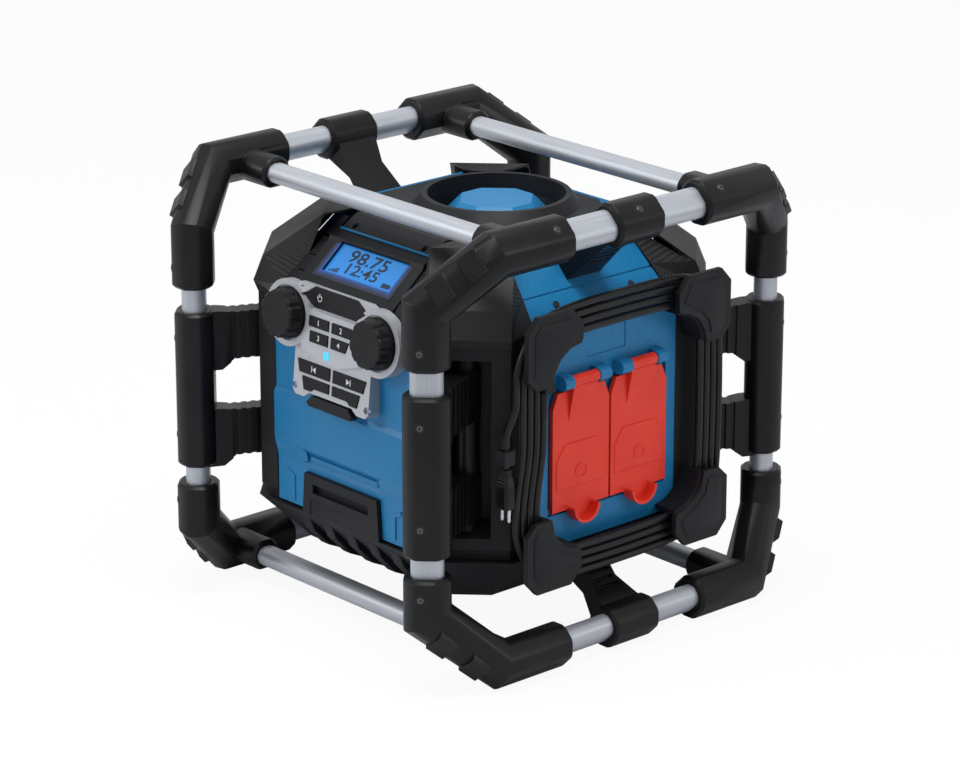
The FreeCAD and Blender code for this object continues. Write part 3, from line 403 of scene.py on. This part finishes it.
def stood(name, outline, levels, place, body, material, sharp=30.0):
    """Closed prism on a surface: at each level the outline, drawn in towards its middle by a share,
    stands at a height: point = origin + right * x + up * y + out * height."""
    origin, right, up, out = (np.array(axis, float) for axis in place)
    flat = np.array(outline, float)
    middle = flat.mean(axis=0)
    rings = [origin + ((flat - middle) * share + middle) @ np.array([right, up]) + out * height
             for height, share in levels]
    lap = np.arange(len(flat))
    ahead = np.roll(lap, -1)
    walls = [np.stack([lap, ahead, ahead + len(flat), lap + len(flat)], axis=1) + len(flat) * level
             for level in range(len(levels) - 1)]
    ends = [lap[::-1], lap + len(flat) * (len(levels) - 1)]
    return as_piece(name, np.concatenate(rings), list(np.concatenate(walls)) + ends, body, material, sharp)


def octagon(half, corner):
    """Square of a half width with its four corners cut back to a half width of flat."""
    return [(half, -corner), (half, corner), (corner, half), (-corner, half),
            (-half, corner), (-half, -corner), (-corner, -half), (corner, -half)]


# The boss in the top well: a blue moulding with eight sloping facets, whose flat top lies just
# under the rim. It stands on the floor of the well.
level_floor = ((0, 0.018, 0.3065), (1, 0, 0), (0, 1, 0), (0, 0, 1))
boss_levels = [(0, 1.0), (0.026, 1.0), (0.048, 0.62), (0.0495, 0.59)]
boss = stood("well_boss_facets", octagon(0.055, 0.019), boss_levels, level_floor, "radio", blue, 10.0)
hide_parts("well_boss")


# The cheeks beside the display hood: four black steps on each side, moulded like shingles,
# that carry the hood's slope over to the speaker grilles.
for side, side_name in ((-1, "left"), (1, "right")):
    for step_number, (low_y, low_z, high_y, high_z, reach) in enumerate((
            (-0.1600, 0.2960, -0.1480, 0.3085, 0.0172), (-0.1470, 0.3090, -0.1345, 0.3195, 0.0148),
            (-0.1335, 0.3200, -0.1185, 0.3330, 0.0118), (-0.1172, 0.3350, -0.0985, 0.3485, 0.0092))):
        cheek_place = ((side * 0.0618, 0, 0), (0, 1, 0), (0, 0, 1), (side, 0, 0))
        cheek = [(low_y, low_z), (high_y, high_z), (high_y + 0.004, high_z - 0.010),
                 (low_y + 0.010, low_z - 0.006)]
        stood("hood_cheek_%s_%d" % (side_name, step_number + 1), cheek,
              [(0, 1.0), (reach - 0.001, 1.0), (reach, 0.93)], cheek_place, "radio", shell_black)


# The blue line that shows between the display hood and the top cover: the edge of the inner
# frame, a thin strip across the slope.
stood("hood_edge_line", [(-0.058, -0.0008), (0.058, -0.0008), (0.058, 0.0008), (-0.058, 0.0008)],
      [(-0.002, 1.0), (0.0012, 1.0), (0.0014, 0.99)],
      ((0, -0.1105, 0.3411), (1, 0, 0), (0, 0.876, 0.482), (0, -0.482, 0.876)), "radio", blue)


# The display's figures: black liquid crystal segments behind the window, shown as plain digits,
# a row of signal bars and a battery.
segment_black, nodes, links, shader = finish("crystal_segments", (0.002, 0.01, 0.03), 0.4)
smear = grain(nodes, links, (1, 1, 1), 2000.0, 1.0)
mottled(nodes, links, shader, smear, (0.001, 0.006, 0.02), (0.004, 0.016, 0.045))
display_place = ((0, -0.13105, 0.3219), (1, 0, 0), (0, 0.7643, 0.6449), (0, -0.6449, 0.7643))


def lettered(name, words, height, across, along, lift, place, body, material, wide=1.0):
    """Figures cut from sheet: the text's outline is made a mesh, and drawn out sideways by a share,
    then each of its points goes to origin + right * x + up * y + out * height."""
    origin, right, up, out = (np.array(axis, float) for axis in place)
    line = bpy.data.curves.new(name + "_line", "FONT")
    line.body = words
    line.size = height
    line.align_x = "CENTER"
    line.align_y = "CENTER"
    line.extrude = 0.00006
    line.offset = height * 0.012
    line.resolution_u = 3
    holder = bpy.data.objects.new(name + "_line", line)
    bpy.context.collection.objects.link(holder)
    mesh = bpy.data.meshes.new_from_object(holder.evaluated_get(bpy.context.evaluated_depsgraph_get()))
    bpy.data.objects.remove(holder)
    flat = np.empty(len(mesh.vertices) * 3)
    mesh.vertices.foreach_get("co", flat)
    flat = flat.reshape(-1, 3) * (wide, 1, 1) + (across, along, lift)
    mesh.vertices.foreach_set("co", (origin + flat @ np.array([right, up, out])).ravel())
    mesh.materials.clear()
    mesh.materials.append(material)
    mesh.update()
    piece = bpy.data.objects.new(name, mesh)
    bpy.context.collection.objects.link(piece)
    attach(piece, body)
    return piece


def bar(x, y, width, height):
    """Upright rectangle about a middle point."""
    return [(x - width / 2, y - height / 2), (x + width / 2, y - height / 2),
            (x + width / 2, y + height / 2), (x - width / 2, y + height / 2)]


figure_lift, figure_width = 0.00012, 1.35
segment = [(0.00002, 1.0), (0.00014, 1.0)]
lettered("display_station", "98.75", 0.0172, -0.002, 0.0062, figure_lift, display_place, "radio",
         segment_black, figure_width)
lettered("display_clock", "12:45", 0.0150, -0.002, -0.0062, figure_lift, display_place, "radio",
         segment_black, figure_width)
for number in range(5):
    tall = 0.0014 + 0.0009 * number
    signal_bar = bar(-0.039 + 0.0024 * number, -0.013 + tall / 2, 0.0016, tall)
    stood("display_signal_bar_%d" % (number + 1), signal_bar, segment, display_place, "radio", segment_black)
stood("display_battery", bar(0.0335, -0.0105, 0.010, 0.0045), segment, display_place, "radio", segment_black)
stood("display_battery_tip", bar(0.0393, -0.0105, 0.0012, 0.0022), segment, display_place, "radio",
      segment_black)


# The window's lit margin: a painted blue glow on the black frame at both sides and below the display,
# standing in for the display's light that falls there, and fading to nothing at its outer edge.
margin, nodes, links, shader = finish("painted_glow_margin", (0.006, 0.008, 0.012), 0.35)
fade = nodes.new("ShaderNodeAttribute")
fade.attribute_name = "fade"
links.new(tinted(nodes, links, fade.outputs["Fac"], (0.0, 0.0, 0.0), (0.01, 0.11, 0.5)),
          shader.inputs["Emission Color"])
shader.inputs["Emission Strength"].default_value = 0.8
share = np.linspace(0, 1, 9)
inner_edge = np.array([(-0.044, 0.0135), (-0.044, -0.0155), (0.044, -0.0155), (0.044, 0.0135)])
outer_edge = np.array([(-0.051, 0.0135), (-0.051, -0.0225), (0.051, -0.0225), (0.051, 0.0135)])
margin_flat = inner_edge[None] * (1 - share)[:, None, None] + outer_edge[None] * share[:, None, None]
margin_origin, margin_axes = np.array(display_place[0]), np.array(display_place[1:3])
margin_lift = np.array(display_place[3]) * 0.00255
margin_points = margin_origin + margin_flat.reshape(-1, 2) @ margin_axes + margin_lift
corner = np.arange(8)[:, None] * 4 + np.arange(3)[None]
margin_faces = np.stack([corner, corner + 4, corner + 5, corner + 1], axis=-1).reshape(-1, 4)
margin_mesh = bpy.data.meshes.new("display_margin")
margin_mesh.from_pydata(margin_points.tolist(), [], margin_faces.tolist())
glow_share = margin_mesh.attributes.new("fade", "FLOAT", "POINT")
glow_share.data.foreach_set("value", np.repeat((1 - share) ** 2, 4))
margin_mesh.materials.append(margin)
display_margin = bpy.data.objects.new("display_margin", margin_mesh)
bpy.context.collection.objects.link(display_margin)
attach(display_margin, "radio")


# The marks on the keys, printed in pale grey: numbers one to four, the power sign and the two
# track arrows. Each mark moves with its own key.
pale_print, nodes, links, shader = finish("pale_print", (0.6, 0.61, 0.62), 0.5)
ink = grain(nodes, links, (1, 1, 1), 2500.0, 1.0)
mottled(nodes, links, shader, ink, (0.5, 0.51, 0.52), (0.68, 0.69, 0.7))
face_place = ((0, -0.169, 0.2575), (1, 0, 0), (0, 0.09932, 0.99506), (0, -0.99506, 0.09932))
for number, mark_x, mark_up in ((1, -0.016, 0.0195), (2, 0.0135, 0.0195), (3, -0.015, 0.00625),
                                (4, 0.0115, 0.00625)):
    lettered("preset_mark_%d" % number, str(number), 0.0068, mark_x, mark_up, 0.00508, face_place,
             "preset_key_%d" % number, pale_print)
ring_turn = np.radians(np.linspace(120, 420, 25))
power_arc = np.concatenate([np.stack([np.cos(ring_turn), np.sin(ring_turn)], axis=1) * 0.0030,
                            np.stack([np.cos(ring_turn), np.sin(ring_turn)], axis=1)[::-1] * 0.0023])
printed = [(0.00098, 1.0), (0.0011, 1.0)]
stood("power_mark_ring", power_arc + (-0.021, 0.040), printed, face_place, "power_key", pale_print)
stood("power_mark_bar", bar(-0.021, 0.0424, 0.0008, 0.0034), printed, face_place, "power_key", pale_print)
for side, key_body in ((-1, "previous_key"), (1, "next_key")):
    arrow_x = side * 0.0225
    arrow = [(arrow_x - side * 0.0022, -0.0262), (arrow_x + side * 0.0020, -0.0235),
             (arrow_x - side * 0.0022, -0.0208)][::side]
    stop = bar(arrow_x + side * 0.0030, -0.0235, 0.0010, 0.0054)
    stood(key_body + "_arrow", arrow, printed, face_place, key_body, pale_print)
    stood(key_body + "_stop", stop, printed, face_place, key_body, pale_print)


# The cage's screws: darkened socket heads in shallow sinkings, three at each corner's elbows, two on each
# post sleeve and one on each upper bracket. The sinkings and sockets are painted shade: thin near-black discs
# where the hollows would be dark.
# Painted shade for holes and hollows: a near-black finish whose tone varies a little by noise.
painted_hole_shade, nodes, links, shader = finish("painted_hole_shade", (0.002, 0.002, 0.002), 0.8)
shade_speckle = grain(nodes, links, (1, 1, 1), 600.0)
mottled(nodes, links, shader, shade_speckle, (0.001, 0.001, 0.001), (0.004, 0.004, 0.004))
screw_steel, nodes, links, shader = finish("blackened_screw", (0.09, 0.09, 0.094), 0.3, 0.8)
worn = grain(nodes, links, (1, 1, 1), 900.0)
mottled(nodes, links, shader, worn, (0.06, 0.06, 0.063), (0.13, 0.13, 0.136))


def turned(name, profile, place, body, material, sides=20):
    """Surface of revolution: point = origin + (right * cos t + up * sin t) * radius + out * height,
    for each angle t and each pair of radius and height of the profile."""
    origin, right, up, out = (np.array(axis, float) for axis in place)
    angle = np.linspace(0, 2 * np.pi, sides, endpoint=False)
    spoke = np.cos(angle)[:, None] * right + np.sin(angle)[:, None] * up
    radius, height = np.array(profile, float).T
    points = origin + spoke[:, None] * radius[None, :, None] + (out * height[:, None])[None]
    row = np.arange(sides)[:, None] * len(profile)
    column = np.arange(len(profile) - 1)[None]
    ahead = np.roll(row, -1, axis=0)
    faces = np.stack([row + column, ahead + column, ahead + column + 1, row + column + 1], axis=-1)
    return as_piece(name, points.reshape(-1, 3), faces.reshape(-1, 4), body, material)


slant = math.sqrt(0.5)
sink_profile = [(0, -0.0003), (0.0043, -0.0003), (0.0043, 0.0001), (0.0041, 0.0002), (0, 0.0002)]
head_profile = [(0, 0.0001), (0.0025, 0.0001), (0.0025, 0.0005), (0.0022, 0.0007), (0.0014, 0.0007),
                (0, 0.0007)]


def screw(name, origin, out):
    """Screw on a flat with this outward direction: a thin disc of painted shade for the sinking, the head,
    and a hexagon of painted shade for its socket.
    """
    outward = Vector(out).normalized()
    right = outward.orthogonal().normalized()
    flat = (origin, right, outward.cross(right), outward)
    turned(name + "_sinking", sink_profile, flat, "radio", painted_hole_shade)
    turned(name + "_head", head_profile, flat, "radio", screw_steel)
    turn = np.radians(np.arange(0, 360, 60))
    hexagon = np.stack([np.cos(turn), np.sin(turn)], axis=1) * 0.0013
    stood(name + "_socket", hexagon, [(0.0005, 1.0), (0.00078, 1.0)], flat, "radio", painted_hole_shade)


post_x, post_y, side_x, side_y, side_z, aside = 0.154, 0.1985, 0.185, 0.0945, 0.3795, 0.0033
elbow_half, bracket_half = 0.018, 0.017
for sx, x_name in ((-1, "left"), (1, "right")):
    for sy, y_name in ((-1, "front"), (1, "rear")):
        corner_name = y_name + "_" + x_name
        for z, half, kind in ((0.3030, elbow_half, "elbow_top"), (0.0885, elbow_half, "elbow_bottom"),
                              (0.2390, 0.01675, "sleeve_high"), (0.1500, 0.01675, "sleeve_low")):
            spot = (sx * (post_x + half * slant - aside), sy * (post_y + half * slant + aside), z)
            screw("screw_%s_%s" % (kind, corner_name), spot, (sx, sy, 0))
        spot = (sx * (side_x + elbow_half * slant), sy * side_y, side_z + elbow_half * slant)
        screw("screw_side_" + corner_name, spot, (sx, 0, 1))
    spot = (sx * (side_x + bracket_half * slant), 0, side_z + bracket_half * slant)
    screw("screw_bracket_" + x_name, spot, (sx, 0, 1))


# The outlet covers' relief: a raised field with cut corners on the lower half of each flap, and
# a ring round its letter, all moulded in the same red.
flap_place = ((0.1645, 0, 0.0015), (0, 1, 0), (0, 0, 1), (1, 0, 0))
for side, flap_body, letter in ((-1, "flap_a", "A"), (1, "flap_b", "B")):
    middle = side * 0.034
    field = [(-0.029, 0.146), (-0.029, 0.172), (-0.019, 0.186), (0.019, 0.186), (0.029, 0.172),
             (0.029, 0.146)]
    stood(flap_body + "_field", [(middle + y, z) for y, z in field],
          [(-0.0004, 1.0), (0.0003, 1.0), (0.0009, 0.965)], flap_place, flap_body, red)
    ring_place = ((0.1645, side * 0.0345, 0.1610), (0, 1, 0), (0, 0, 1), (1, 0, 0))
    ring = [(0.0058, 0.0006), (0.0066, 0.0006), (0.0066, 0.0014), (0.0058, 0.0014), (0.0058, 0.0006)]
    turned(flap_body + "_ring", ring, ring_place, flap_body, red, 36)
    lettered(flap_body + "_letter", letter, 0.0085, 0, 0, 0.0010, ring_place, flap_body, red)


# The hooks' inner fields: the plate that keeps the cord in is stepped, with a raised field
# whose edge follows the plate's.
hook_field = [(0.004, 0.041), (0.012, 0.056), (0.046, 0.056), (0.053, 0.048), (0.053, 0.012), (0.046, 0.006),
              (0.037, 0.008), (0.034, 0.020), (0.024, 0.030), (0.012, 0.036)]
hook_y, hook_low, hook_high = 0.058, 0.1355, 0.2535
hook_face = ((0.190, 0, 0), (0, 1, 0), (0, 0, 1), (1, 0, 0))
hook_levels = [(-0.0003, 1.0), (0.0004, 1.0), (0.0010, 0.96)]
for sy, y_name in ((-1, "front"), (1, "rear")):
    for sz, z_name, middle_z in ((1, "top", hook_high), (-1, "bottom", hook_low)):
        mirrored = [(sy * (hook_y + y), middle_z + sz * z) for y, z in hook_field]
        stood("hook_field_%s_%s" % (z_name, y_name), mirrored, hook_levels, hook_face, "radio", shell_black)


# The fins under the front of the base: five blunt wedges, 30 mm apart, that let the radio skid
# over rubble.
for number in range(5):
    middle_x = -0.060 + 0.030 * number
    stood("base_fin_%d" % (number + 1),
          [(-0.1190, 0.0485), (-0.1316, 0.0544), (-0.1496, 0.0732), (-0.1545, 0.0855)],
          [(-0.0065, 0.9), (-0.0050, 1.0), (0.0050, 1.0), (0.0065, 0.9)],
          ((middle_x, 0, 0), (0, 1, 0), (0, 0, 1), (1, 0, 0)), "radio", shell_black)


# The relief of the blue front: ramps that close the ends of the long groove, a bar in it, an angled bead near
# each edge of the apron, and drain holes in the shoulder of the outlet side, drawn as thin discs of painted
# shade.
front_place = ((0, -0.1574, 0.0015), (1, 0, 0), (0, 0, 1), (0, -1, 0))
stood("groove_bar", bar(0, 0.1430, 0.090, 0.0045), [(-0.0005, 1.0), (0.0012, 1.0), (0.0018, 0.98)],
      front_place, "radio", blue)
ramp = [(-0.1565, 0.1380), (-0.1596, 0.1380), (-0.1600, 0.1405), (-0.1634, 0.1545), (-0.1565, 0.1545)]
for side, side_name in ((-1, "left"), (1, "right")):
    stood("groove_shoulder_" + side_name, ramp, [(0, 0.55), (0.010, 1.0), (0.0408, 1.0)],
          ((side * 0.048, 0, 0), (0, 1, 0), (0, 0, 1), (side, 0, 0)), "radio", blue, 15.0)
bead = [(0.0655, 0.0995), (0.0690, 0.0995), (0.0690, 0.1205), (0.0765, 0.1245), (0.0765, 0.1275),
        (0.0655, 0.1220)]
for side, side_name in ((-1, "left"), (1, "right")):
    stood("apron_bead_" + side_name, [(side * x, z) for x, z in bead],
          [(0.0018, 1.0), (0.0028, 1.0), (0.0032, 0.97)], front_place, "radio", blue)
# The drain holes are thin near-black discs: painted shade.
for side, side_name in ((-1, "front"), (1, "rear")):
    drain_place = ((0.1434, side * 0.0438, 0.3054), (0, 1, 0), (-0.678, 0, 0.735), (0.735, 0, 0.678))
    turned("shoulder_drain_" + side_name, [(0, 0.0), (0.0032, 0.0), (0.0030, 0.00015), (0, 0.00015)],
           drain_place, "radio", painted_hole_shade)


# The strain relief: a tapered rubber sleeve round the cord where it leaves the gland. It is
# thickest there and ends almost flush with the sheath.
relief_place = ((0.176, -0.08885, 0.2455), (1, 0, 0), (0, -1, 0), (0, 0, -1))
turned("strain_relief", [(0.0036, 0.0), (0.00415, 0.0), (0.00415, 0.004), (0.0037, 0.0235), (0.0036, 0.024),
                         (0.0036, 0.0)], relief_place, "radio", rubber, 24)


# The power cord: black rubber sheath, 7 mm thick, wound flat in four turns round the hooks.
# Each turn lies one lane further out than the last, and steps out on its left run.
sheath, nodes, links, shader = finish("rubber_sheath", (0.005, 0.005, 0.006), 0.34)
shader.inputs["Specular IOR Level"].default_value = 0.24
rubbed = grain(nodes, links, (1, 1, 1), 90.0, 4.0)
mottled(nodes, links, shader, rubbed, (0.004, 0.004, 0.005), (0.009, 0.009, 0.01))
links.new(spread(nodes, links, rubbed, 0.28, 0.44), shader.inputs["Roughness"])
cord_x, gland_y, first_bend, lane, turns = 0.176, -0.08885, 0.0386, 0.00775, 4
spline_reach = 1.012
route = [(gland_y, 0.2455), (gland_y, 0.2245), (gland_y, 0.2045)]
for turn_number in range(turns):
    bend = first_bend + lane * turn_number
    inner = bend - lane
    if turn_number > 0:
        route += [(-hook_y - inner, hook_high), (-hook_y - inner, 0.2285), (-hook_y - inner, 0.2045)]
    route += [(-hook_y - inner - 0.001, 0.1885), (-hook_y - bend + 0.001, 0.1575), (-hook_y - bend, 0.1415)]
    for side_y, middle_z, first in ((-hook_y, hook_low, 180), (hook_y, hook_low, 270), (hook_y, hook_high, 0),
                                    (-hook_y, hook_high, 90)):
        for degrees in (6, 28, 50, 72):
            swung = math.radians(first + degrees + 6)
            reach = bend * spline_reach
            route.append((side_y + reach * math.cos(swung), middle_z + reach * math.sin(swung)))
route += [(-0.1194, 0.2515), (-0.1194, 0.2415), (-0.1215, 0.2335), (-0.1292, 0.2215), (-0.1313, 0.2135),
          (-0.1313, 0.2005), (-0.1313, 0.1875)]
cord_curve = bpy.data.curves.new("power_cord", "CURVE")
cord_curve.dimensions = "3D"
spline = cord_curve.splines.new("NURBS")
spline.points.add(len(route) - 1)
for control, (y, z) in zip(spline.points, route):
    control.co = (cord_x, y, z, 1)
spline.order_u = 3
spline.use_endpoint_u = True
cord_curve.bevel_depth = 0.0035
cord_curve.bevel_resolution = 3
cord_curve.resolution_u = 5
cord_curve.use_fill_caps = True
cord_curve.materials.append(sheath)
power_cord = bpy.data.objects.new("power_cord", cord_curve)
bpy.context.collection.objects.link(power_cord)
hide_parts("cord")
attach(power_cord, "radio")


# The plug that hangs under its clip: a ridged rubber body that widens downwards, with two round steel pins.
plug_place = ((0.177, -0.1318, 0.1880), (1, 0, 0), (0, -1, 0), (0, 0, -1))
plug_outline = [(0.0072, -0.0034), (0.0072, 0.0034), (0.0050, 0.0060), (-0.0050, 0.0060),
                (-0.0072, 0.0034), (-0.0072, -0.0034), (-0.0050, -0.0060), (0.0050, -0.0060)]
plug_levels = [(0, 0.6), (0.0015, 0.64), (0.0060, 0.66), (0.0085, 0.86), (0.0100, 0.80), (0.0115, 0.92),
               (0.0130, 0.86), (0.0145, 0.97), (0.0320, 1.0), (0.0345, 0.92)]
plug_shell = stood("plug_shell", plug_outline, plug_levels, plug_place, "radio", rubber)
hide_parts("plug")
pin_profile = [(0, 0), (0.0016, 0), (0.0016, 0.0105), (0.0011, 0.0120), (0, 0.0120)]
for side, side_name in ((-1, "inner"), (1, "outer")):
    pin_place = ((0.177 + side * 0.0042, -0.1318, 0.1540), (1, 0, 0), (0, -1, 0), (0, 0, -1))
    turned("plug_pin_" + side_name, pin_profile, pin_place, "radio", steel)
